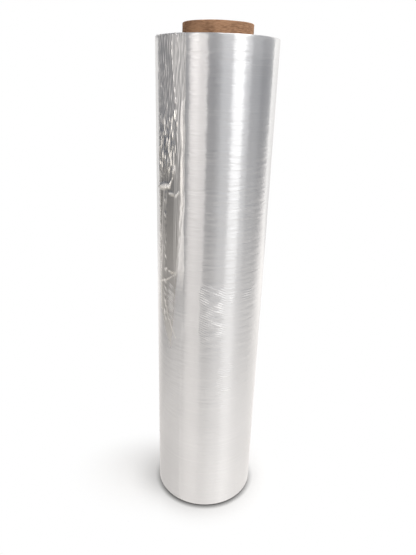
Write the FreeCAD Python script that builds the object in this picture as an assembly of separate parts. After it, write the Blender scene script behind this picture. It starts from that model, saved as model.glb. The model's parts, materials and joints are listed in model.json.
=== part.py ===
import FreeCAD, Part
import math
import os

# A hand roll of clear stretch wrap, standing on its end. Clear film is wound on
# a paper core that is flush with the film below and stands out of it on top.
# The last part-turn of the web has come loose: it lies on the roll in upright
# pleats, which fan out from the low tip of a pocket to the top of the roll.
# Lengths are in millimetres and angles in degrees. The origin is the centre of
# the foot, +Z is up, and azimuths turn anticlockwise from +X seen from above.

# Paper core
core_bore_diameter = 50.8
core_wall = 6.7
core_stand_out = 11.8
core_rim_bevel = 0.8

# Wound film
film_width = 500.0
film_outer_diameter = 112.4
film_edge_bevel = 0.8

# Rings of turns that show on the end faces, wound a little high or low in turn
ring_count = 12
ring_relief = 0.5

# Last part-turn of the web, from its free edge back to where it is still tight
tail_free_edge_azimuth = -117.3
tail_span = 104.0
tail_stand_off = 0.2
tail_edge_inset = 0.4

# Pleats of the loosened web, the highest beside its free edge
pleat_count = 11
pleat_height = 0.9
pleat_height_at_root = 0.3
pleat_width = 5.2
pleat_sway = 1.1
pleat_sway_length = 165.0
pleat_section_count = 9

# Pocket that the pleats stand in, a point below that widens to its shoulders
pocket_tip_offset = 16.6
pocket_tip_height = 200.0
pocket_shoulder_height = 300.0
pocket_fan_share = 0.45

# Unevenness of the rings and pleats: an angle, in radians, from one to the next
unevenness_turn = 2.4

core_bore_radius = core_bore_diameter / 2
core_outer_radius = core_bore_radius + core_wall
core_length = film_width + core_stand_out
film_outer_radius = film_outer_diameter / 2
edge_bevel = min(film_edge_bevel, (film_outer_radius - core_outer_radius) / 3)
tail_foot_height = edge_bevel + tail_edge_inset
tail_top_height = film_width - tail_foot_height
tail_skin_radius = film_outer_radius + tail_stand_off
buried_radius = film_outer_radius - pleat_height


def paper_core():
    """The tube of glued paper plies, its four rim edges eased by the cutting knife."""
    tube = Part.makeCylinder(core_outer_radius, core_length)
    bore = Part.makeCylinder(core_bore_radius, core_length)
    blank = tube.cut(bore)
    rims = [edge for edge in blank.Edges if isinstance(edge.Curve, Part.Circle)]
    return blank.makeChamfer(min(core_rim_bevel, core_wall / 4), rims)


def end_face_points(end_height, inward):
    """Points (radius, height) across one end face, from the bevelled rim to the core."""
    rim_radius = film_outer_radius - edge_bevel
    ring_width = (rim_radius - core_outer_radius) / ring_count
    points = []
    for ring in range(ring_count + 1):
        sunk = ring_relief * (1 - math.cos(unevenness_turn * ring)) / 2
        points.append((rim_radius - ring * ring_width, end_height + inward * sunk))
    return points


def revolved(profile, start_azimuth, span):
    """The closed profile of (radius, height) points, turned round the roll's axis."""
    outline = Part.makePolygon([polar(radius, start_azimuth, height) for radius, height in profile])
    return Part.Face(outline).revolve(FreeCAD.Vector(0, 0, 0), FreeCAD.Vector(0, 0, 1), span)


def polar(radius, azimuth, height):
    """The point at a radius, an azimuth and a height."""
    turn = math.radians(azimuth)
    return FreeCAD.Vector(radius * math.cos(turn), radius * math.sin(turn), height)


def wound_turns():
    """The tightly wound turns, a tube that fits the core, with shallow rings on both end faces."""
    wall_foot = (film_outer_radius, edge_bevel)
    wall_top = (film_outer_radius, film_width - edge_bevel)
    top_face = end_face_points(film_width, -1)
    foot_face = end_face_points(0, 1)
    return revolved([wall_foot, wall_top] + top_face + foot_face[::-1] + [wall_foot], 0, 360)


def loose_web():
    """The last part-turn of the web, a skin that stands off the turns beneath it."""
    inner_foot = (buried_radius, tail_foot_height)
    outer_foot = (tail_skin_radius, tail_foot_height)
    outer_top = (tail_skin_radius, tail_top_height)
    inner_top = (buried_radius, tail_top_height)
    profile = [inner_foot, outer_foot, outer_top, inner_top, inner_foot]
    return revolved(profile, tail_free_edge_azimuth - tail_span, tail_span)


def pleat_offset(number):
    """Degrees from the web's free edge back to a pleat, at the top of the roll."""
    unevenness = 0.15 * math.sin(3 * unevenness_turn * number)
    return tail_span / pleat_count * (number + 0.5 + unevenness)


def pleat_section(number, share, height):
    """The arched section of a pleat at a height, its share of the way up the pleat from 0 to 1."""
    phase = unevenness_turn * number
    beyond_tip = pleat_offset(number) - pocket_tip_offset
    rise = (height - pocket_tip_height) / (film_width - pocket_tip_height)
    fan = pocket_fan_share + (1 - pocket_fan_share) * rise if beyond_tip > 0 else 1.0
    sway = pleat_sway * fan * math.sin(2 * math.pi * height / pleat_sway_length + number / 3)
    azimuth = tail_free_edge_azimuth - pocket_tip_offset - beyond_tip * fan + sway

    root_share = number / pleat_count
    full_crest = pleat_height + (pleat_height_at_root - pleat_height) * root_share
    swell = math.sin(math.pi / 2 * min(3 * share, 1.0)) * (0.85 + 0.15 * math.sin(phase + 7 * share))
    sunk_crest_radius = (buried_radius + tail_skin_radius) / 2
    crest_radius = sunk_crest_radius + (tail_skin_radius + full_crest - sunk_crest_radius) * swell

    half_turn = math.degrees(pleat_width / 2 / film_outer_radius) * fan
    near_foot = polar(buried_radius, azimuth - half_turn, height)
    far_foot = polar(buried_radius, azimuth + half_turn, height)
    arch = Part.Arc(near_foot, polar(crest_radius, azimuth, height), far_foot)
    return Part.Wire([arch.toShape(), Part.LineSegment(far_foot, near_foot).toShape()])


def pleat(number):
    """One upright pleat, lofted from where the web is stuck down to the top edge of the web."""
    from_tip = abs(pleat_offset(number) - pocket_tip_offset)
    climb = min(from_tip / pocket_tip_offset, 1.0)
    foot_height = pocket_tip_height + (pocket_shoulder_height - pocket_tip_height) * climb
    sections = []
    for step in range(pleat_section_count):
        share = step / (pleat_section_count - 1)
        height = foot_height + (tail_top_height - foot_height) * share
        sections.append(pleat_section(number, share, height))
    return Part.makeLoft(sections, True, True)


def film_roll():
    """All turns of the web as one solid, its bore the same size as the outside of the core."""
    pleats = [pleat(number) for number in range(pleat_count)]
    return wound_turns().fuse([loose_web()] + pleats)


os.makedirs("parts", exist_ok=True)
for node, shape in {"paper_core": paper_core(), "film_roll": film_roll()}.items():
    solid = shape.Solids[0]
    print(node, "solids", len(shape.Solids), "valid", shape.isValid(), "volume", round(solid.Volume))
    solid.exportStep(f"parts/{node}.step")
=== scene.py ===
import json
import math

import bpy
import numpy as np
from mathutils import Matrix, Vector


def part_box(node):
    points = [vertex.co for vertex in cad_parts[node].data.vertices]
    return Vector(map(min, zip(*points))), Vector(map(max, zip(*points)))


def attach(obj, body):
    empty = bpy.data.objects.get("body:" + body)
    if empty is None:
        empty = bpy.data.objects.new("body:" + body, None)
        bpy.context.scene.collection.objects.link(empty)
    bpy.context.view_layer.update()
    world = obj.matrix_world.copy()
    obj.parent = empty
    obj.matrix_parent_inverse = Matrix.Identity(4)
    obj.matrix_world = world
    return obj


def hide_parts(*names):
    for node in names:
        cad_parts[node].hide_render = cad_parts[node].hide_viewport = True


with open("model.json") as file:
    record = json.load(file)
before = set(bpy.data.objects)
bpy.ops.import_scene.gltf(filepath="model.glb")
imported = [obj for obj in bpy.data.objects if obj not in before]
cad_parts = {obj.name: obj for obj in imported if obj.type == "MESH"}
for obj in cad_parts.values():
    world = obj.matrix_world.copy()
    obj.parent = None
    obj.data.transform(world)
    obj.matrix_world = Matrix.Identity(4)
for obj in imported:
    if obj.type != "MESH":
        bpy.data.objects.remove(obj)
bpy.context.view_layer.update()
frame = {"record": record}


# The wound film: a few hundred metres of clear stretch web on a paper core. It is
# pulled tight on the winder and every turn clings to the one below, so the stack
# mirrors the room like dull silver. Ripples in the web's gauge add up over the
# turns to faint hoops, and the edges of the turns show as rings on both ends.
film_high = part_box("film_roll")[1]
core_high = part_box("paper_core")[1]
film_radius = film_high.x
film_width = film_high.z
core_radius = core_high.x
film_edge_round = 0.0009
film_bore_gap = 0.00004
film_columns = 216
film_side_rows = 312
film_end_rings = 46
film_end_waves, film_end_wave_depth, film_end_step = 2.3, 0.00034, 0.00012
film_end_flush_share = 0.08
hoop_waves = ((0.061, 0.000030), (0.0173, 0.000012), (0.0071, 0.000005), (0.0043, 0.000003))
flank_waves = ((2, 0.31, 0.00006), (3, -0.22, 0.00005), (5, 0.17, 0.00002))
flank_drift_height = 0.1

# The patches where the web went on askew, by height and by arc: where each starts,
# is full, begins to end and has ended, or the middle and width of a bell.
upper_patch_heights, upper_patch_arcs = (0.200, 0.240, 0.272, 0.288), (-0.013, -0.008, 0.011, 0.019)
beside_patch_height, beside_patch_arcs = (0.267, 0.008), (0.016, 0.022, 0.050, 0.058)
lower_patch_height, lower_patch_arc = (0.172, 0.032), (0.020, 0.014)
beside_patch_share, lower_patch_share = 0.7, 0.75
askew_slant, askew_pitch, askew_bend_arc = 0.42, 0.0025, 0.018

# Noise in the film: its scales along X, Y and Z, and its detail.
streak_noise = (9, 9, 620), 4
waver_noise = (42, 42, 330), 2
patch_noise = (22, 22, 22), 3
crease_wander_noise, crease_wander = ((38, 38, 38), 2), 1.7
crease_shown_noise = (330, 60, 1), 1

silver_tint = (0.70, 0.70, 0.705, 1.0)
# The white of frost, and of the painted highlights and glints.
frost_and_glint_tint = (0.95, 0.94, 0.93, 1.0)
braid_tint = (0.95, 0.920, 0.855, 1.0)
cloudiness = 0.12
film_metal, loose_film_metal, braid_metal = 0.66, 0.76, 0.97
# How much mirror stays where the film is frosted or carries a painted highlight.
frost_and_glint_metal_share = 0.1
film_roughness = 0.325
# Painted glints along the fine creases: the part of each crease tent that turns white, and how white.
crease_glint_range, crease_glint_white = (0.27, 0.44), 0.85
hairline_range, hairline_white = (0.56, 0.80), 0.16
gloss_streak_range, gloss_streak_share = (0.2, 0.8), 0.85
film_bump, crease_bump_share, loose_waver_share = 0.00048, 1.5, 0.12
# A painted highlight along the top of the wound film: how white, and the heights where it comes in.
top_edge_highlight, top_edge_highlight_heights = 0.16, (0.468, 0.497)


def corner_values(grid):
    """The values at the four corners of each quad between neighbouring points of a grid."""
    return np.stack([grid[:-1, :-1], grid[:-1, 1:], grid[1:, 1:], grid[1:, :-1]], axis=2)


def add_piece(name, points, wrap_rows=False, wrap_columns=False):
    """A smooth-shaded piece of quads between neighbouring points of a (rows, columns, 3) array.
    A wrapped direction is joined from its last line of points back to its first. The UV map
    counts columns along U, which runs round the roll, and rows along V."""
    rows, columns = points.shape[:2]
    index = np.arange(rows * columns).reshape(rows, columns)
    if wrap_rows:
        index = np.vstack([index, index[:1]])
    if wrap_columns:
        index = np.hstack([index, index[:, :1]])
    mesh = bpy.data.meshes.new(name)
    mesh.from_pydata(points.reshape(-1, 3).tolist(), [], corner_values(index).reshape(-1, 4).tolist())
    column, row = np.meshgrid(np.arange(index.shape[1]) / columns, np.arange(index.shape[0]) / rows)
    winding = mesh.uv_layers.new(name="winding")
    winding.data.foreach_set("uv", corner_values(np.stack([column, row], axis=-1)).ravel())
    mesh.shade_smooth()
    piece = bpy.data.objects.new(name, mesh)
    bpy.context.scene.collection.objects.link(piece)
    return piece


def paint(piece, name, values):
    """Stores one number for each point of a piece as an attribute that its material reads."""
    layer = piece.data.attributes.new(name, "FLOAT", "POINT")
    layer.data.foreach_set("value", np.ascontiguousarray(values, dtype=np.float32).ravel())


def round_axis(radius, azimuth, height):
    """Points at radius * (cos azimuth, sin azimuth) and a height, for arrays that broadcast together."""
    x = radius * np.cos(azimuth)
    y = radius * np.sin(azimuth)
    return np.stack(np.broadcast_arrays(x, y, height), axis=-1)


def ripple_field(across, along, across_length, along_length, seed):
    """A smooth random field of about -1 to 1: the sum of sixteen cosines of
    2 pi (across / a + along / b) + phase, whose a and b are drawn near the two lengths."""
    draw = np.random.default_rng(seed)
    waves = 16
    a = across_length * draw.uniform(0.6, 1.8, waves) * draw.choice([-1, 1], waves)
    b = along_length * draw.uniform(0.6, 1.8, waves)
    phase = draw.uniform(0, 2 * math.pi, waves)
    total = sum(np.cos(2 * math.pi * (across / a[k] + along / b[k]) + phase[k]) for k in range(waves))
    return total / math.sqrt(waves)


def bell(value, centre, width):
    """A smooth bump, exp(-((value - centre) / width) ** 2)."""
    return np.exp(-(((value - centre) / width) ** 2))


def ramp(value, start, end):
    """0 before start, 1 after end and a smooth S between them."""
    share = np.clip((value - start) / (end - start), 0, 1)
    return share * share * (3 - 2 * share)


def plateau(value, start, full, ending, end):
    """0 before start, 1 from full to ending, 0 after end, and a smooth S on both sides."""
    return ramp(value, start, full) * (1 - ramp(value, ending, end))


def askew_share(azimuth, height):
    """How far the web went on askew: three patches, by height and by the arc to the right of azimuth
    -90 degrees, under a random field."""
    arc = film_radius * (azimuth + math.pi / 2)
    upper = plateau(height, *upper_patch_heights) * plateau(arc, *upper_patch_arcs)
    beside = beside_patch_share * bell(height, *beside_patch_height) * plateau(arc, *beside_patch_arcs)
    lower = lower_patch_share * bell(height, *lower_patch_height) * bell(arc, *lower_patch_arc)
    patchy = 0.75 + 0.4 * ripple_field(arc, height, 0.020, 0.022, 32)
    return np.clip((upper + beside + lower) * patchy, 0, 1)


def film_side_lift(azimuth, height):
    """How far the wound film stands off its nominal radius: hoops that are sines of the height, and
    broad flanks that are sines of the azimuth and drift with height."""
    lift = sum(size * np.sin(2 * math.pi * height / length + 9 * length) for length, size in hoop_waves)
    for lobes, drift, size in flank_waves:
        turned = 2 * math.pi * height * drift / flank_drift_height
        lift = lift + size * np.sin(lobes * azimuth + turned + lobes)
    return lift


def film_end_height(share, seed):
    """How deep a turn's edge lies back from the end of the roll, at a share of the way from rim to core:
    broad sines of the share, and a random step for each ring."""
    rings = np.random.default_rng(seed).uniform(-1, 1, share.size)
    wave = 0.5 - 0.5 * np.cos(2 * math.pi * film_end_waves * share)
    return (film_end_wave_depth * wave + film_end_step * rings) * ramp(share, 0, film_end_flush_share)


def wound_film_points():
    """The profile of (radius, height) points runs up the side, inwards over the top, down the bore and
    outwards under the foot, and is turned round the axis. The side's radius gets film_side_lift."""
    corner = np.linspace(0, math.pi / 2, 6)[1:-1]
    rim = film_radius - film_edge_round
    bore = core_radius + film_bore_gap
    share = np.linspace(0, 1, film_end_rings)
    face_radius = rim + (bore - rim) * share
    radius = np.concatenate([
        np.full(film_side_rows, film_radius),
        rim + film_edge_round * np.cos(corner),
        face_radius,
        face_radius[::-1],
        rim + film_edge_round * np.sin(corner),
    ])
    height = np.concatenate([
        np.linspace(film_edge_round, film_width - film_edge_round, film_side_rows),
        film_width - film_edge_round * (1 - np.sin(corner)),
        film_width - film_end_height(share, 5),
        film_end_height(share, 6)[::-1],
        film_edge_round * (1 - np.cos(corner)),
    ])
    azimuth = np.linspace(0, 2 * math.pi, film_columns, endpoint=False)[None, :]
    on_side = ramp(radius, rim - film_edge_round, film_radius)[:, None]
    lift = film_side_lift(azimuth, height[:, None]) * on_side
    return round_axis(radius[:, None] + lift, azimuth, height[:, None])


def set_inputs(tree, node, inputs):
    """Gives each input of a node, by its name or number, a plain value or a link from another node."""
    for place, value in inputs.items():
        if isinstance(value, bpy.types.NodeSocket):
            tree.links.new(value, node.inputs[place])
        else:
            node.inputs[place].default_value = value


def add_node(tree, kind, inputs, **settings):
    """A new node with its settings and its inputs."""
    node = tree.nodes.new(kind)
    for setting, value in settings.items():
        setattr(node, setting, value)
    set_inputs(tree, node, inputs)
    return node


def object_place(tree):
    """The Object coordinates."""
    return add_node(tree, "ShaderNodeTexCoord", {}).outputs["Object"]


def add_math(tree, operation, *values, clamped=False):
    """The result of one Math node."""
    inputs = dict(enumerate(values))
    return add_node(tree, "ShaderNodeMath", inputs, operation=operation, use_clamp=clamped).outputs["Value"]


def add_range(tree, value, low, high, to_low, to_high, smooth=False):
    """A value carried from one range over to another and held inside it, evenly or along a smooth S."""
    bounds = {"Value": value, "From Min": low, "From Max": high, "To Min": to_low, "To Max": to_high}
    kind = "SMOOTHSTEP" if smooth else "LINEAR"
    return add_node(tree, "ShaderNodeMapRange", bounds, interpolation_type=kind).outputs["Result"]


def add_noise(tree, place, scales, detail):
    """Noise with its own scale along each axis."""
    stretched = add_node(tree, "ShaderNodeVectorMath", {0: place, 1: scales}, operation="MULTIPLY")
    inputs = {"Vector": stretched.outputs["Vector"], "Scale": 1, "Detail": detail}
    return add_node(tree, "ShaderNodeTexNoise", inputs).outputs["Fac"]


def add_blend(tree, factor, first, second, kind="MIX"):
    """Two colours blended."""
    inputs = {"Factor": factor, "A": first, "B": second}
    return add_node(tree, "ShaderNodeMix", inputs, data_type="RGBA", blend_type=kind).outputs["Result"]


def new_material(name):
    """A new material, its node tree and the Principled BSDF in it."""
    material = bpy.data.materials.new(name)
    material.use_nodes = True
    return material, material.node_tree, material.node_tree.nodes["Principled BSDF"]


def web_streaks_group():
    """Marks in the web's own direction, on Object coordinates. Streaks and Waver are noise squeezed in
    height, fine and less fine, so they run round the roll. Creases are tents of u a pitch apart, with
    u = height + slant * arc. The arc is measured to the right of azimuth -90 degrees and held below
    the bend, so beyond it they run level. They waver, and come and go, by noise. Patches is a broad,
    soft noise."""
    group = bpy.data.node_groups.new("Web streaks", "ShaderNodeTree")
    for name in ("Streaks", "Waver", "Creases", "Patches"):
        group.interface.new_socket(name, in_out="OUTPUT", socket_type="NodeSocketFloat")
    place = object_place(group)
    split = add_node(group, "ShaderNodeSeparateXYZ", {"Vector": place}).outputs
    azimuth = add_math(group, "ARCTAN2", split["Y"], split["X"])
    arc = add_math(group, "MULTIPLY_ADD", azimuth, film_radius, film_radius * math.pi / 2)
    held_arc = add_math(group, "MINIMUM", arc, askew_bend_arc)
    across = add_math(group, "MULTIPLY_ADD", held_arc, askew_slant, split["Z"])
    along_crease = add_node(group, "ShaderNodeCombineXYZ", {"X": across, "Y": arc}).outputs["Vector"]
    wavering = add_math(group, "MULTIPLY", add_noise(group, place, *crease_wander_noise), crease_wander)
    pitches = add_math(group, "MULTIPLY_ADD", across, 1 / askew_pitch, wavering)
    tents = add_math(group, "MULTIPLY", add_math(group, "PINGPONG", pitches, 0.5), 2.0)
    shown = add_noise(group, along_crease, *crease_shown_noise)
    add_node(group, "NodeGroupOutput", {
        "Streaks": add_noise(group, place, *streak_noise),
        "Waver": add_noise(group, place, *waver_noise),
        "Creases": add_math(group, "MULTIPLY", tents, shown),
        "Patches": add_noise(group, place, *patch_noise),
    })
    return group


web_streaks = web_streaks_group()


def film_material(name, loose_tint, loose_roughness):
    """Clear film over clear film: part mirror, part pale haze, with a vertical spread to its gloss from
    the fine ribs of the turns. Four attributes of the piece change it: loosened, from 0 where the film
    is wound tight to 1 where it hangs loose, braided, where its folds lie over each other and glint,
    the frost and glints, where it is creased white and where it has a painted highlight, and askew,
    where fine creases cross it. Where they cross, the creases also carry painted glints."""
    material, tree, shader = new_material(name)
    streaks = add_node(tree, "ShaderNodeGroup", {}, node_tree=web_streaks).outputs

    def attribute(layer):
        return add_node(tree, "ShaderNodeAttribute", {}, attribute_name=layer).outputs["Fac"]

    def product(first, second):
        return add_math(tree, "MULTIPLY", first, second, clamped=True)

    def total(first, second):
        return add_math(tree, "ADD", first, second, clamped=True)

    loosened = attribute("loosened")
    braided = attribute("braided")
    creases = product(attribute("askew"), streaks["Creases"])
    # Painted glints: the crests of the fine creases turn white.
    crease_glints = add_range(tree, creases, *crease_glint_range, 0, crease_glint_white)
    hairlines = add_range(tree, streaks["Streaks"], *hairline_range, 0, hairline_white)
    tight_hairlines = product(hairlines, add_range(tree, loosened, 0, 1, 1, 0))
    frost_and_glints = total(total(attribute("frost_and_glints"), crease_glints), tight_hairlines)

    tint = add_blend(tree, braided, add_blend(tree, loosened, silver_tint, loose_tint), braid_tint)
    cloudy = add_blend(tree, cloudiness, tint, streaks["Patches"], "MULTIPLY")
    layered = add_range(tree, braided, 0, 1, 0, braid_metal - loose_film_metal)
    metal = total(add_range(tree, loosened, 0, 1, film_metal, loose_film_metal), layered)
    clear_share = add_range(tree, frost_and_glints, 0, 1, 1, frost_and_glint_metal_share)
    gloss = add_range(tree, loosened, 0, 1, film_roughness, loose_roughness)
    uneven = add_range(tree, streaks["Streaks"], *gloss_streak_range, gloss_streak_share, 1.0)

    along_web = add_node(tree, "ShaderNodeTangent", {}, direction_type="UV_MAP", uv_map="winding")
    hoops = product(streaks["Waver"], add_range(tree, loosened, 0, 1, 1, loose_waver_share))
    relief = add_math(tree, "ADD", hoops, add_range(tree, creases, 0, 1, 0, crease_bump_share))
    bump = add_node(tree, "ShaderNodeBump", {"Strength": 1, "Distance": film_bump, "Height": relief})
    set_inputs(tree, shader, {
        "IOR": 1.5,
        "Anisotropic": 1.0,
        "Anisotropic Rotation": 0.25,
        "Base Color": add_blend(tree, frost_and_glints, cloudy, frost_and_glint_tint),
        "Metallic": product(metal, clear_share),
        "Roughness": product(gloss, uneven),
        "Tangent": along_web.outputs["Tangent"],
        "Normal": bump.outputs["Normal"],
    })
    return material


wound_points = wound_film_points()
wound_film = add_piece("wound_film", wound_points, wrap_rows=True, wrap_columns=True)
wound_azimuths = np.arctan2(wound_points[..., 1], wound_points[..., 0])
wound_heights = wound_points[..., 2]
paint(wound_film, "askew", askew_share(wound_azimuths, wound_heights))
# A painted highlight along the top of the wound film.
paint(wound_film, "frost_and_glints", top_edge_highlight * ramp(wound_heights, *top_edge_highlight_heights))
wound_film.data.materials.append(film_material("wound clear film", silver_tint, film_roughness))
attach(wound_film, "root")
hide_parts("film_roll")


# The loose web: the last part-turn of the film, torn from a pallet's load and let
# go. It is stuck down again at its root and below, but has shrunk into upright
# pleats and creases in a pocket beside its free edge, which ends in a low point.
web_free_edge = math.radians(-117.3)
web_span = math.radians(104)
web_stand_off = 0.00018
web_thickness = 0.00006
web_end_margin = 0.0006
web_fine_arc, web_fine_columns, web_plain_columns = 0.045, 160, 32
web_plain_height, web_plain_rows, web_fine_rows = 0.19, 26, 196
web_arcs = np.concatenate([
    np.linspace(0, web_fine_arc, web_fine_columns, endpoint=False),
    np.linspace(web_fine_arc, web_span * film_radius, web_plain_columns),
])[None, :]
web_heights = np.concatenate([
    np.linspace(web_end_margin, web_plain_height, web_plain_rows, endpoint=False),
    np.linspace(web_plain_height, film_width - web_end_margin, web_fine_rows),
])[:, None]
web_edge_tuck = 0.0003
loose_grey = (0.500, 0.492, 0.478, 1.0)
loose_roughness = 0.17

# The pocket's tip as (arc back from the free edge, height), how steeply its floor
# climbs from there to both sides, and how far back the pocket reaches.
pocket_tip = (0.0163, 0.200)
pocket_rise_to_root, pocket_rise_to_edge = 2.2, 10.0
pocket_reach_arc = 0.0352
pocket_lift = 0.00015

# The braid: where it starts above the level folds, and the rise, pitch and seed of
# its coarse strands and of the fine ones that lie over them.
braid_floor, braid_floor_fade = 0.377, 0.012
coarse_strands = (0.00070, 0.0028, 11)
fine_strands = (0.00034, 0.0014, 13)

# The creases that stand out, in millimetres: (arc back from the free edge, height)
# points up the crest, how high it stands, and how wide its two flanks are, towards
# the free edge and towards the root. The first nine carry a painted highlight in stretches.
upright_creases = (
    (((7.9, 380), (11, 388), (12.6, 402), (14.2, 419), (16.1, 433)), 0.9, 1.1, 1.3),
    (((9.0, 436), (9.4, 442), (11.2, 454), (13, 468), (14.8, 483), (14.9, 500)), 1.0, 1.2, 1.0),
    (((9.7, 380), (14.8, 383), (21.3, 389), (25.4, 394), (29.1, 398), (32.3, 404)), 0.7, 0.9, 1.2),
    (((25.2, 412), (26.9, 424), (28.7, 432), (29.5, 470)), 0.8, 0.9, 1.3),
    (((19, 392), (20.4, 405), (22, 425), (20, 450)), 0.9, 1.0, 1.2),
    (((17, 396), (19.7, 408), (23.5, 416), (24.5, 440), (23, 480)), 0.7, 0.9, 1.1),
    (((9.2, 400), (7.5, 411), (8.7, 419), (10.5, 436)), 0.7, 0.9, 1.1),
    (((3.6, 466), (5.8, 472), (8, 483), (9.1, 500)), 0.5, 1.2, 1.0),
    (((30, 375), (32, 400), (31, 440), (33, 500)), 0.6, 0.9, 1.1),
    (((33.2, 286), (30.4, 312), (34.9, 338), (34, 360)), 0.5, 1.2, 1.8),
    (((24, 232), (23.5, 290), (23, 372)), 0.8, 1.6, 5.0),
)
highlighted_creases = upright_creases[:9]
crease_end_fade = 0.004

# The fold that the web is rolled over at, beside its free edge: its crest and flanks
# as above, its rise, and the heights and the arc at which its flank is clear.
rolled_crease = (((9.5, 290), (5.5, 330), (4.4, 363), (4.4, 394), (5.0, 422), (3.6, 450)), 4.4, 1.4)
rolled_rise = 0.00076
rolled_clear_heights, rolled_clear_arc = (0.335, 0.375, 0.400, 0.455), (0.0028, 0.0020)
rolled_clear_share = 0.62

# The folds that lie level, in millimetres: (arc, height) points from the free edge
# towards the root, how high the fold stands, its width, and how white its painted highlight is.
level_folds = (
    (((14.2, 380), (17, 375), (20.5, 372)), 1.9, 2.0, 0.8),
    (((17.5, 372), (21, 373), (26, 372), (37, 369.5)), 2.1, 3.2, 0.8),
    (((4.5, 370.5), (8, 367), (10.9, 365)), 1.2, 1.6, 0.8),
    (((9.5, 364.5), (12, 365.5), (19.5, 366.5)), 1.4, 1.3, 0.8),
    (((8.5, 288), (16, 287.5), (23, 290)), 0.7, 0.9, 0.8),
    (((9, 287.5), (21, 279), (40, 270)), 0.4, 0.8, 0.7),
    (((10, 217), (19, 235), (27, 255), (31, 270)), 0.3, 0.9, 0.4),
)
crumple_pitch, crumple_slant = 0.0022, 30

# The flakes, small flat folds that mirror the lamp on the left, in millimetres: the arc
# and height of the middle, the half width and half height, and the slope across it.
flakes = (
    (11.1, 436, 2.4, 6.5, 0.36),
    (8.5, 429, 1.6, 4.5, 0.32),
    (13.2, 419, 1.5, 9.0, 0.40),
    (11.8, 410, 1.1, 6.0, 0.38),
    (26.2, 420, 1.3, 7.0, 0.67),
    (20.8, 402, 1.1, 9.0, 0.54),
    (24.0, 408, 1.0, 5.0, 0.60),
)


def pocket_share(arc, height):
    """1 inside the pocket, 0 where the web is stuck down. Its floor is a V in arc, from the tip up to
    the free edge and to the root. arc is in metres back from the free edge."""
    beside_tip = arc - pocket_tip[0]
    rise = np.where(beside_tip > 0, pocket_rise_to_root, pocket_rise_to_edge) * np.abs(beside_tip)
    opened = ramp(height - rise, pocket_tip[1] - 0.004, pocket_tip[1] + 0.010)
    return opened * (1 - ramp(arc, pocket_reach_arc, pocket_reach_arc + 0.003))


def upright_crease(arc, height, route, edge_flank, root_flank):
    """A sharp crest of height 1: 1 - distance / flank, where distance is how far arc is from the crest,
    which the height gives by the route. Both ends fade out."""
    crest_arc, crest_height = np.array(route).T / 1000
    beside = arc - np.interp(height, crest_height, crest_arc)
    flank = np.where(beside > 0, root_flank, edge_flank) / 1000
    foot, top = crest_height[0], crest_height[-1]
    ends = plateau(height, foot - crease_end_fade, foot + crease_end_fade,
                   top - crease_end_fade, top + crease_end_fade)
    return np.clip(1 - np.abs(beside) / flank, 0, 1) * ends


def level_fold(arc, height, route, width):
    """The same crest for a fold that lies level, with the height of its crest given by arc. It tapers
    towards both ends."""
    crest_arc, crest_height = np.array(route).T / 1000
    start, end = crest_arc[0], crest_arc[-1]
    beside = height - np.interp(arc, crest_arc, crest_height)
    taper = 0.35 + 0.65 * np.sin(math.pi * np.clip((arc - start) / (end - start), 0, 1))
    ends = plateau(arc, start - 0.001, start, end, end + 0.001)
    return np.clip(1 - np.abs(beside) / (taper * width / 1000), 0, 1) * ends


def flake(arc, height, middle_arc, middle_height, half_width, half_height):
    """A flat-topped lozenge of height 1: 1.8 (1 - beside / half width - above / half height), cut off
    at 1 and at 0."""
    beside = np.abs(1000 * arc - middle_arc) / half_width
    above = np.abs(1000 * height - middle_height) / half_height
    return np.clip(1.8 * (1 - beside - above), 0, 1)


def strands(arc, height, rise, pitch, seed):
    """Upright strands a pitch apart that wander, part and join: the tent 1 - 2 |u - round(u)|, with
    u = (arc + random field) / pitch, under a second random field that lets each come and go."""
    u = (arc + 0.9 * pitch * ripple_field(arc, height, 0.014, 0.040, seed)) / pitch
    shown = 0.2 + 0.8 * ramp(ripple_field(arc, height, 0.005, 0.017, seed + 1), -0.6, 1.0)
    return rise * ((1 - 2 * np.abs(u - np.round(u))) * shown)


def web_braid(arc, height):
    """Coarse strands under fine ones, so that their flanks add up here and there to a steep facet."""
    return strands(arc, height, *coarse_strands) + strands(arc, height, *fine_strands)


def braid_share(arc, height):
    """Where the web is braided: over the whole pocket above the level folds, most of all just above
    them, a little below them, and little beside the free edge."""
    above_folds = ramp(height, braid_floor, braid_floor + braid_floor_fade)
    upper = above_folds * (1 - 0.55 * ramp(height, 0.425, 0.450))
    upper = upper + 0.08 * ramp(height, 0.26, 0.32) * (1 - above_folds)
    rooted = 0.25 + 0.75 * ramp(arc, 0.008, 0.014) + 0.3 * ramp(arc, 0.019, 0.026)
    return upper * rooted * pocket_share(arc, height)


def ladder_share(arc, height):
    """Where short slanting creases cross the tip of the pocket like the rungs of a ladder."""
    return 1.25 * bell(height, 0.256, 0.026) * bell(arc, 0.0165, 0.0062) * pocket_share(arc, height)


def web_lift(arc, height):
    """How far the loose web stands off the roll: the braid, the creases that stand out, the rolled edge
    and the level folds, each at its own height. A level fold is crumpled into facets that fall towards
    the free edge, a saw of the arc, and a flake is one such facet, slope * (arc from its near side)."""
    lift = pocket_lift * pocket_share(arc, height) + web_braid(arc, height) * braid_share(arc, height)
    for number, (route, rise, edge_flank, root_flank) in enumerate(upright_creases):
        uneven = 0.60 + 0.42 * ripple_field(arc, height, 0.012, 0.010, 50 + number)
        crest = uneven * upright_crease(arc, height, route, edge_flank, root_flank)
        lift = np.maximum(lift, rise / 1000 * crest)
    smooth = 0.9 + 0.1 * ripple_field(arc, height, 0.012, 0.050, 61)
    lift = np.maximum(lift, rolled_rise * smooth * upright_crease(arc, height, *rolled_crease))
    crumples = np.mod(arc / crumple_pitch + crumple_slant * height, 1)
    for route, rise, width, _ in level_folds:
        lift = lift + rise / 1000 * level_fold(arc, height, route, width) * crumples
    for *place, slope in flakes:
        climb = arc - (place[0] - place[2]) / 1000
        lift = np.maximum(lift, slope * climb * flake(arc, height, *place))
    return web_stand_off + lift


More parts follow.
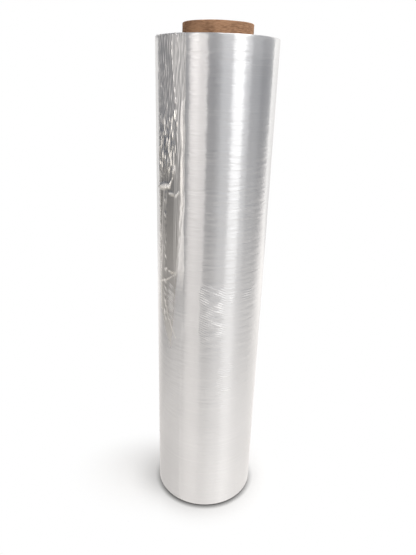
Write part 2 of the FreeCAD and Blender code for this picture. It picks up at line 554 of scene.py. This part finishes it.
def loose_web_points():
    """A grid back from the free edge and up the roll, at the film's radius plus web_lift, with the root
    and the lower free edge tucked in. The free edge itself wanders by a random field, and the top edge
    stands up in small loops over the pocket."""
    arc, height = web_arcs, web_heights
    top_edge = ramp(height, 0.494, film_width - web_end_margin)
    tuck = web_edge_tuck * ramp(arc, 0.096, 0.102)
    tuck = tuck + web_edge_tuck * (1 - ramp(arc, 0, 0.004)) * (1 - ramp(height, 0.20, 0.26))
    stray = 0.0006 * ripple_field(height, 0 * arc, 0.045, 1.0, 21) * np.exp(-arc / 0.006)
    loops = 0.0006 * ripple_field(arc, height, 0.006, 0.2, 22) * top_edge
    azimuth = web_free_edge - (arc + stray) / film_radius
    return round_axis(film_radius + web_lift(arc, height) - tuck, azimuth, height + loops)


def rolled_clear(arc, height):
    """Where the flank of the rolled edge is clear enough to mirror the lamp on the left."""
    return rolled_clear_share * bell(arc, *rolled_clear_arc) * plateau(height, *rolled_clear_heights)


def flake_clear(arc, height):
    """Where a flake is."""
    return np.maximum.reduce([flake(arc, height, *place) for *place, _ in flakes])


def braided_values(arc, height):
    """Where the folds of the web lie over each other: in the braid, on the rolled edge, the level folds
    and the flakes."""
    folds = [level_fold(arc, height, route, 1.4 * width) for route, _, width, _ in level_folds]
    folded = 3 * np.maximum.reduce(folds + [flake_clear(arc, height)])
    layers = [braid_share(arc, height), rolled_clear(arc, height), folded]
    return np.clip(np.maximum.reduce(layers), 0, 1)


def veil_white(arc, height):
    """A streaky veil above the level folds, from the free edge back to the tall crease."""
    edge = np.interp(height, (0.380, 0.442, 0.483), (0.008, 0.0094, 0.0148))
    veil = (0.72 + 16 * arc) * ramp(height, 0.372, 0.410)
    veil = veil * plateau(arc, 0.0002, 0.0012, edge - 0.001, edge + 0.0005)
    return veil * (0.85 + 0.34 * ripple_field(arc, height, 0.0025, 0.032, 25))


def strip_white(arc, height):
    """A strip along the free edge that narrows upwards."""
    edge = np.interp(height, (0.262, 0.290, 0.330, 0.363, 0.400), (0.0095, 0.0095, 0.0085, 0.0075, 0.0050))
    strip = 0.95 * plateau(height, 0.262, 0.300, 0.435, 0.480)
    strip = strip * (1 - ramp(arc, edge - 0.0040, edge + 0.0008))
    return strip * (0.88 + 0.16 * ripple_field(arc, height, 0.004, 0.012, 23))


def crest_highlights(arc, height):
    """Painted highlights on the level folds, and on stretches of the crests of the upright creases,
    picked by random fields.
    """
    crests = [1.5 * white * level_fold(arc, height, route, width) for route, _, width, white in level_folds]
    for number, (route, _, edge_flank, root_flank) in enumerate(highlighted_creases):
        stretch = ramp(ripple_field(arc, height, 0.012, 0.012, 70 + number), -0.4, 0.5)
        crest = upright_crease(arc, height, route, edge_flank, root_flank)
        crests.append(0.9 * stretch * ramp(crest, 0.5, 0.85))
    return np.maximum.reduce(crests)


def loop_highlights(arc, height):
    """A painted highlight on short loops along the top edge of the web."""
    loops = ramp(height, 0.484, 0.499) * ramp(ripple_field(arc, height, 0.0045, 0.016, 24), 0, 0.5)
    return 0.7 * loops * (1 - ramp(arc, pocket_reach_arc, pocket_reach_arc + 0.004))


def pocket_haze_and_highlights(arc, height):
    """A thin haze over the pocket, thicker in streaks above the level folds, and an upright band below the
    folds beside the strip. Over these lies painted light: a lighter band towards the top, an upright band
    below the folds curved like a lens, and a line at the root."""
    above_folds = ramp(height, 0.360, 0.395)
    streaks = ramp(ripple_field(arc, height, 0.0028, 0.026, 26), 0.2, 1.4)
    # Towards the top the haze gets a painted lighter band.
    haze = 0.12 + (0.04 + 0.60 * streaks) * above_folds + 0.27 * ramp(height, 0.415, 0.450)
    lens_arc = np.interp(height, (0.286, 0.312, 0.338, 0.365), (0.0330, 0.0300, 0.0310, 0.0270))
    # The lens band is a painted highlight.
    lens = 0.6 * bell(arc, lens_arc, 0.0016) + 0.35 * bell(arc, lens_arc - 0.004, 0.0030)
    beside = 0.42 * (1 - ramp(arc, 0.0105, 0.0150)) * (1 - ramp(height, 0.390, 0.412))
    beside = beside * (0.9 + 0.3 * ripple_field(arc, height, 0.0025, 0.060, 27))
    bands = np.maximum(lens * (1 - above_folds), beside) * ramp(height, 0.262, 0.300)
    # The line at the root is a painted highlight.
    root_line = 0.7 * bell(arc, 0.0345, 0.0012) * ramp(height, 0.39, 0.43)
    return np.maximum.reduce([haze, bands, root_line]) * pocket_share(arc, height)


def frost_and_glint_values(arc, height):
    """How white the web is, from its creases and frost and from painted highlights: the most of all those.
    The flakes stay nearly clear, and the rolled edge is clearer than the strip that it lies in."""
    layers = (veil_white, strip_white, crest_highlights, loop_highlights, pocket_haze_and_highlights)
    white = np.clip(np.maximum.reduce([layer(arc, height) for layer in layers]), 0, 1)
    return white * (1 - 0.9 * flake_clear(arc, height)) * (1 - 0.42 * rolled_clear(arc, height))


def back_to_edge(grid):
    """A grid of the loose web with its columns turned round, so that its faces point outwards."""
    return grid[:, ::-1]


loosened_values = pocket_share(web_arcs, web_heights) * ramp(web_arcs, 0.0003, 0.002)
loose_web = add_piece("loose_web", back_to_edge(loose_web_points()))
paint(loose_web, "loosened", back_to_edge(loosened_values))
paint(loose_web, "braided", back_to_edge(braided_values(web_arcs, web_heights)))
paint(loose_web, "askew", back_to_edge(ladder_share(web_arcs, web_heights)))
# Frost, and the painted highlights on creases, folds, loops and pocket.
paint(loose_web, "frost_and_glints", back_to_edge(frost_and_glint_values(web_arcs, web_heights)))
loose_web.data.materials.append(film_material("loose clear film", loose_grey, loose_roughness))
skin = loose_web.modifiers.new("web thickness", "SOLIDIFY")
skin.thickness = web_thickness
skin.offset = -1
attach(loose_web, "root")
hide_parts("film_roll")


# The paper core: plies of brown kraft board wound in a spiral and glued, cut to
# length on a lathe. The cut leaves a soft, slightly furry rim that shows the
# plies as rings, and the outer ply's butt seam climbs round the tube.
core_bore = frame["record"]["mounts"][0]["dims"]["r_mm"] / 1000
core_top = core_high.z
core_rim_round = 0.0009
core_plies, core_ply_sink = 11, 0.00009
core_seam_pitch, core_seam_width, core_seam_depth = 0.150, 0.0011, 0.00016
core_wall_unevenness = 0.00005
core_cut_depth, core_cut_waver, core_cut_sink = 0.003, 0.00006, 0.0001
core_columns = 260
core_hidden_rows, core_shown_rows, core_bore_rows = 12, 26, 190
kraft_mid = (0.425, 0.242, 0.140, 1.0)
kraft_dark = (0.200, 0.105, 0.058, 1.0)
kraft_cloud_noise = (60, 60, 60), 5
kraft_fibre_noise = (260, 260, 1500), 4
kraft_tone_range = (0.75, 1.15)
kraft_bump = 0.00006


def core_profile():
    """(radius, height) points of the tube, up the outside, inwards over the cut, down the bore and
    outwards under the foot, with the rows close together where the tube stands out of the film."""
    corner = np.linspace(0, math.pi / 2, 7)[1:-1]
    outside = np.concatenate([
        np.linspace(core_rim_round, film_width - 0.004, core_hidden_rows),
        np.linspace(film_width - 0.002, core_top - core_rim_round, core_shown_rows),
    ])
    inside = np.linspace(core_rim_round, core_top - core_rim_round, core_bore_rows)
    share = np.linspace(0, 1, 4 * core_plies + 1)
    glue_lines = np.abs(np.cos(math.pi * core_plies * share)) ** 6
    ply_sink = core_ply_sink * glue_lines * ramp(share * (1 - share), 0, 0.02)
    outer_rim = core_radius - core_rim_round
    inner_rim = core_bore + core_rim_round
    face = outer_rim + (inner_rim - outer_rim) * share
    turn_out = core_rim_round * np.cos(corner)
    turn_up = core_rim_round * (1 - np.sin(corner))
    radius = np.concatenate([
        np.full(outside.size, core_radius), outer_rim + turn_out, face, inner_rim - turn_out[::-1],
        np.full(inside.size, core_bore), inner_rim - turn_out, face[::-1], outer_rim + turn_out[::-1],
    ])
    height = np.concatenate([
        outside, core_top - turn_up, core_top - ply_sink, core_top - turn_up[::-1],
        inside[::-1], turn_up, ply_sink[::-1], turn_up[::-1],
    ])
    return radius[:, None], height[:, None]


def paper_core_points():
    """The profile turned round the axis. The butt seam is a groove where height - pitch * turns is a whole
    number of pitches, the cut face wavers, and the walls carry the slight flats of the plies below."""
    radius, height = core_profile()
    azimuth = np.linspace(0, 2 * math.pi, core_columns, endpoint=False)[None, :]
    turns = height / core_seam_pitch - azimuth / (2 * math.pi)
    from_seam = (turns - np.round(turns)) * core_seam_pitch
    seam = core_seam_depth * bell(from_seam, 0, core_seam_width)
    outer_wall = ramp(radius, core_radius - core_rim_round, core_radius - 0.0002)
    bore_wall = ramp(-radius, -core_bore - core_rim_round, -core_bore - 0.0002)
    arc = core_radius * np.sin(azimuth)
    uneven = core_wall_unevenness * ripple_field(arc, height, 0.021, 0.013, 41)
    clear_of_film = ramp(height, film_width, film_width + 0.002)
    wall_shift = -outer_wall * (seam - np.minimum(uneven, 0)) * clear_of_film + bore_wall * seam
    near_cut = ramp(height, core_top - core_cut_depth, core_top)
    waver = core_cut_waver * (np.sin(3 * azimuth + 1) + 0.6 * np.sin(7 * azimuth)) * near_cut
    return round_axis(radius + wall_shift, azimuth, height + waver - core_cut_sink * near_cut)


def kraft_material():
    """Unbleached board: short dark and pale fibres along the ply, under a cloudy tone."""
    material, tree, shader = new_material("kraft board")
    place = object_place(tree)
    fibres = add_noise(tree, place, *kraft_fibre_noise)
    tone = add_math(tree, "ADD", add_noise(tree, place, *kraft_cloud_noise), fibres)
    pale_share = add_range(tree, tone, *kraft_tone_range, 0, 1)
    bump = add_node(tree, "ShaderNodeBump", {"Strength": 0.5, "Distance": kraft_bump, "Height": fibres})
    set_inputs(tree, shader, {
        "Roughness": 0.86,
        "Specular IOR Level": 0.25,
        "Base Color": add_blend(tree, pale_share, kraft_dark, kraft_mid),
        "Normal": bump.outputs["Normal"],
    })
    return material


paper_tube = add_piece("paper_tube", paper_core_points(), wrap_rows=True, wrap_columns=True)
paper_tube.data.materials.append(kraft_material())
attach(paper_tube, "root")
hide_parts("paper_core")


# The studio sheet: white paper on a table, and a white wall behind. To the camera
# the sheet is pure white but for the roll's shadow, part lit and part painted, and
# the wall isn't seen at all. The film mirrors both as painted glows, which are
# brightest towards the two sides of the wall.
sheet_reach = 2.4
wall_back, wall_left, wall_right, wall_top = 0.85, -0.79, 1.24, 1.3
# The wall's painted glow: its colour, and its strength, rising from the middle to both ends.
wall_white = (1, 0.985, 0.965, 1)
wall_reach, wall_glow = (0.2, 1.0), (0.76, 1.46)
pure_white = (1.0, 1.0, 1.0, 1.0)
paper_white = (0.86, 0.85, 0.84, 1.0)
# The colour of the painted glow that the film mirrors in place of lit paper.
paper_glow = (1.0, 0.960, 0.920, 1.0)
# The roll's shadow to the camera: lit paper, with a painted shadow from openness, inside a painted patch.
shadow_middle, shadow_squeeze = (-0.040, -0.005, 0.0), (1.0, 1.7, 1.0)
shadow_paper_share, shadow_glow = 0.62, 1.42
# How far openness looks for the painted shadow and for the painted contact shadow in the crevice.
shade_reach, crevice_reach = 0.040, 0.007
foot_middle, foot_front = (0.0, 0.0, 0.0), (0.0, -film_radius, 0.0)
# The painted glow that the film mirrors in place of lit paper: brightest place, halving, power, strength.
glow_middle, glow_halving, glow_power, glow_strength = (0.22, -0.05, 0.0), 0.85, 1.8, 1.12
# A painted pool of light under the left lamp, and painted shade at the roll's left foot.
left_pool_middle = (-0.40, -0.20, 0.0)
foot_shade_middle = (-0.090, -0.035, 0.0)
# The painted glow behind the roll: at the wall's left end, middle and right end.
back_glow_left, back_glow_middle, back_glow_right = 1.55, 0.62, 1.70
indirect_share = 0.80

# Fades on the sheet: where each starts and ends, and its value before and after.
shadow_fade = (0.040, 0.138, 0.0, 1.0)
foot_ring_fade = (film_radius, 0.098, 0.0, 1.0)
shade_depth_fade = (-0.020, 0.030, 1.0, 0.5)
# The painted contact shadow in the crevice, strongest at the front of the foot.
crevice_shade_fade = (0.020, 0.100, 2.8, 0.0)
# A painted glow near the roll, a painted pool of light on the left and painted shade at the left foot.
foot_glow_fade = (0.22, 0.62, 0.42, 0.0)
left_pool_fade = (0.0, 0.34, 0.36, 0.0)
foot_shade_fade = (0.020, 0.120, 0.80, 1.0)
# Where the painted glow behind the roll starts, and how it rises towards the wall's ends.
behind_right_fade, behind_left_fade = (-0.44, -0.20, 0.0, 1.0), (-0.36, -0.10, 0.0, 1.0)
back_right_fade = (0.14, 0.42, back_glow_middle, back_glow_right)
back_left_fade = (-0.32, 0.06, back_glow_left, back_glow_middle)


def mix_shaders(tree, factor, first, second):
    """Two shaders mixed."""
    return add_node(tree, "ShaderNodeMixShader", {0: factor, 1: first, 2: second}).outputs["Shader"]


def sheet_material():
    """White paper. To the camera it is a glow that darkens towards the roll by its openness, a painted
    shadow, plus a share of paper lit by the lamps for the roll's shadow. Both pass into pure white past a
    round patch, squeezed from front to back, and past a ring at the foot, so the shadow's edge is painted,
    and last comes a painted contact shadow, dark in the crevice under the front of the foot. In the film's
    mirror it is no lit paper but a painted glow, brightest to the right of the roll, of strength / (1 +
    (d / halving) ** power), with d the distance from that place. It glows a little more near the roll, more
    under the left lamp as a painted pool of light, and less at the roll's left foot as painted shade. Behind
    the roll, towards the wall, it is at least as bright as the wall is there, most of all to both sides. All
    other light gets a share of that glow."""
    material, tree, _ = new_material("studio sheet")
    path = add_node(tree, "ShaderNodeLightPath", {}).outputs
    place = object_place(tree)
    split = add_node(tree, "ShaderNodeSeparateXYZ", {"Vector": place}).outputs

    def openness(reach):
        return add_node(tree, "ShaderNodeAmbientOcclusion", {"Distance": reach}).outputs["AO"]

    def calculate(operation, *values):
        return add_math(tree, operation, *values)

    def distance_from(middle, squeeze=(1.0, 1.0, 1.0)):
        squeezed = add_node(tree, "ShaderNodeVectorMath", {0: place, 1: squeeze}, operation="MULTIPLY")
        ends = {0: squeezed.outputs["Vector"], 1: [m * s for m, s in zip(middle, squeeze)]}
        return add_node(tree, "ShaderNodeVectorMath", ends, operation="DISTANCE").outputs["Value"]

    def glow(colour, strength):
        return add_node(tree, "ShaderNodeEmission", {"Color": colour, "Strength": strength}).outputs["Emission"]

    def fade(value, bounds):
        return add_range(tree, value, *bounds, smooth=True)

    paper = add_node(tree, "ShaderNodeBsdfDiffuse", {"Color": paper_white}).outputs["BSDF"]
    # Painted shadow: a glow that darkens with less openness, more in front of the roll.
    shade = calculate("POWER", openness(shade_reach), fade(split["Y"], shade_depth_fade))
    shaded = glow(pure_white, calculate("MULTIPLY", shade, shadow_glow))
    near = mix_shaders(tree, shadow_paper_share, shaded, paper)
    past_shadow = fade(distance_from(shadow_middle, shadow_squeeze), shadow_fade)
    past_foot = fade(distance_from(foot_middle), foot_ring_fade)
    past_both = calculate("MINIMUM", past_shadow, past_foot)
    open_sheet = mix_shaders(tree, past_both, near, glow(pure_white, 1.0))
    # Painted contact shadow, dark in the crevice under the front of the foot.
    crevice_shade_power = fade(distance_from(foot_front), crevice_shade_fade)
    crevice_unshaded = calculate("POWER", openness(crevice_reach), crevice_shade_power)
    seen = mix_shaders(tree, crevice_unshaded, glow(pure_white, 0.0), open_sheet)

    # In the film's mirror a painted glow stands in for lit paper.
    falling = calculate("POWER", calculate("DIVIDE", distance_from(glow_middle), glow_halving), glow_power)
    wide = calculate("DIVIDE", glow_strength, calculate("ADD", falling, 1.0))
    near_roll = fade(distance_from(foot_middle), foot_glow_fade)
    pool = fade(distance_from(left_pool_middle), left_pool_fade)
    painted_lamp_light = calculate("ADD", calculate("ADD", wide, near_roll), pool)
    past_right = calculate("MULTIPLY_ADD", split["X"], -wall_back / wall_right, split["Y"])
    past_left = calculate("MULTIPLY_ADD", split["X"], -wall_back / wall_left, split["Y"])
    behind = calculate("MINIMUM", fade(past_right, behind_right_fade), fade(past_left, behind_left_fade))
    back_glow = calculate("MAXIMUM", fade(split["X"], back_right_fade), fade(split["X"], back_left_fade))
    open_floor = calculate("MAXIMUM", painted_lamp_light, calculate("MULTIPLY", behind, back_glow))
    foot_shade = fade(distance_from(foot_shade_middle), foot_shade_fade)
    share = fade(path["Is Glossy Ray"], (0.0, 1.0, indirect_share, 1.0))
    painted_mirror_glow = glow(paper_glow, calculate("MULTIPLY", calculate("MULTIPLY", open_floor, foot_shade), share))
    surface = mix_shaders(tree, path["Is Camera Ray"], painted_mirror_glow, seen)
    set_inputs(tree, tree.nodes["Material Output"], {"Surface": surface})
    return material


def wall_material():
    """The wall has no lamps of its own: it simply glows white as painted light, most of all at both ends."""
    material, tree, shader = new_material("studio wall")
    split = add_node(tree, "ShaderNodeSeparateXYZ", {"Vector": object_place(tree)}).outputs
    sideways = add_math(tree, "ABSOLUTE", split["X"])
    set_inputs(tree, shader, {
        "Base Color": (0, 0, 0, 1),
        "Specular IOR Level": 0,
        "Emission Color": wall_white,
        "Emission Strength": add_range(tree, sideways, *wall_reach, *wall_glow),
    })
    return material


def flat_stage(name, corners, material):
    """A flat four-cornered piece of the studio, which isn't part of the roll."""
    mesh = bpy.data.meshes.new(name)
    mesh.from_pydata(corners, [], [(0, 1, 2, 3)])
    mesh.materials.append(material)
    piece = bpy.data.objects.new(name, mesh)
    bpy.context.scene.collection.objects.link(piece)
    return piece


flat_stage("studio_sheet", [
    (-sheet_reach, -sheet_reach, 0), (sheet_reach, -sheet_reach, 0),
    (sheet_reach, sheet_reach, 0), (-sheet_reach, sheet_reach, 0),
], sheet_material())
wall = flat_stage("studio_wall", [
    (wall_left, wall_back, 0), (wall_right, wall_back, 0),
    (wall_right, wall_back, wall_top), (wall_left, wall_back, wall_top),
], wall_material())
wall.visible_camera = False


# The lamps: on the right a tall key, a wider glow and spill behind it and a small
# high one. On the left a warm fill with a stripe and a spill, and one overhead that
# faces down. The room beyond is dark and bluish in the film, white to the camera.
room_dark = (0.036, 0.056, 0.104, 1.0)
room_fill = (0.09, 0.09, 0.09, 1.0)


def softbox(name, bearing, distance, middle, width, tall, radiance, colour):
    """A lamp that faces the roll's axis from a bearing, in degrees to the right of the camera's side, at
    a distance, with its middle at a height. Its power is radiance * pi * width * tall."""
    turn = math.radians(bearing)
    lamp = bpy.data.lights.new(name, "AREA")
    lamp.shape = "RECTANGLE"
    lamp.size = width
    lamp.size_y = tall
    lamp.color = colour
    lamp.energy = radiance * math.pi * width * tall
    holder = bpy.data.objects.new(name, lamp)
    holder.location = (distance * math.sin(turn), -distance * math.cos(turn), middle)
    holder.rotation_euler = (math.pi / 2, 0, turn)
    holder.visible_camera = False
    bpy.context.scene.collection.objects.link(holder)
    return holder


softbox("right key", 40.5, 1.0, 0.82, 0.39, 1.36, 1.25, (1.0, 1.0, 0.985))
softbox("right glow", 37, 1.05, 0.70, 1.10, 1.36, 0.45, (0.98, 0.99, 1.0))
softbox("right spill", 45, 1.1, 0.70, 2.1, 1.36, 0.21, (0.96, 0.98, 1.0))
softbox("right high", 60, 0.90, 1.50, 0.50, 0.50, 10.0, (1.0, 0.99, 0.975))
softbox("left fill", -32.5, 1.0, 0.68, 0.60, 1.28, 1.34, (1.0, 0.945, 0.90))
softbox("left stripe", -40, 0.98, 1.10, 0.24, 0.64, 2.5, (1.0, 0.96, 0.925))
softbox("left spill", -62, 1.0, 0.80, 0.60, 1.16, 0.25, (1.0, 0.975, 0.95))
overhead = softbox("overhead", 80, 0.42, 1.45, 0.8, 0.8, 4.0, (1.0, 0.995, 0.985))
overhead.rotation_euler = (0, 0, 0)


def room_world():
    """White to the camera, dark and bluish to the film's reflections, and an even fill to all else."""
    world = bpy.data.worlds.new("room")
    world.use_nodes = True
    tree = world.node_tree
    path = add_node(tree, "ShaderNodeLightPath", {}).outputs
    fill = tree.nodes["Background"]
    set_inputs(tree, fill, {"Color": room_fill})
    dark = add_node(tree, "ShaderNodeBackground", {"Color": room_dark})
    white = add_node(tree, "ShaderNodeBackground", {"Color": pure_white})
    mirrored = mix_shaders(tree, path["Is Glossy Ray"], fill.outputs[0], dark.outputs[0])
    seen = mix_shaders(tree, path["Is Camera Ray"], mirrored, white.outputs[0])
    set_inputs(tree, tree.nodes["World Output"], {"Surface": seen})
    bpy.context.scene.world = world


room_world()
bpy.context.scene.view_settings.view_transform = "Standard"


# The camera stands half a metre in front of the roll, a little lower than the top of
# the film, and looks down. Its place and lens come from the roll's outlines.
camera_place = Vector((0.0, -0.4885, 0.4644))
camera_down = math.radians(22.02)
camera_left = math.radians(0.28)
camera_roll = math.radians(1.73)
camera_focal_pixels = 486.9
picture_height_pixels = 555

camera_data = bpy.data.cameras.new("camera")
camera_data.sensor_fit = "VERTICAL"
camera_data.sensor_height = 24.0
camera_data.lens = camera_data.sensor_height * camera_focal_pixels / picture_height_pixels
camera_data.clip_start = 0.01
camera = bpy.data.objects.new("camera", camera_data)
turned = Matrix.Rotation(camera_left, 4, "Z") @ Matrix.Rotation(math.pi / 2 - camera_down, 4, "X")
camera.matrix_world = Matrix.Translation(camera_place) @ turned @ Matrix.Rotation(camera_roll, 4, "Z")
bpy.context.scene.collection.objects.link(camera)
bpy.context.scene.camera = camera
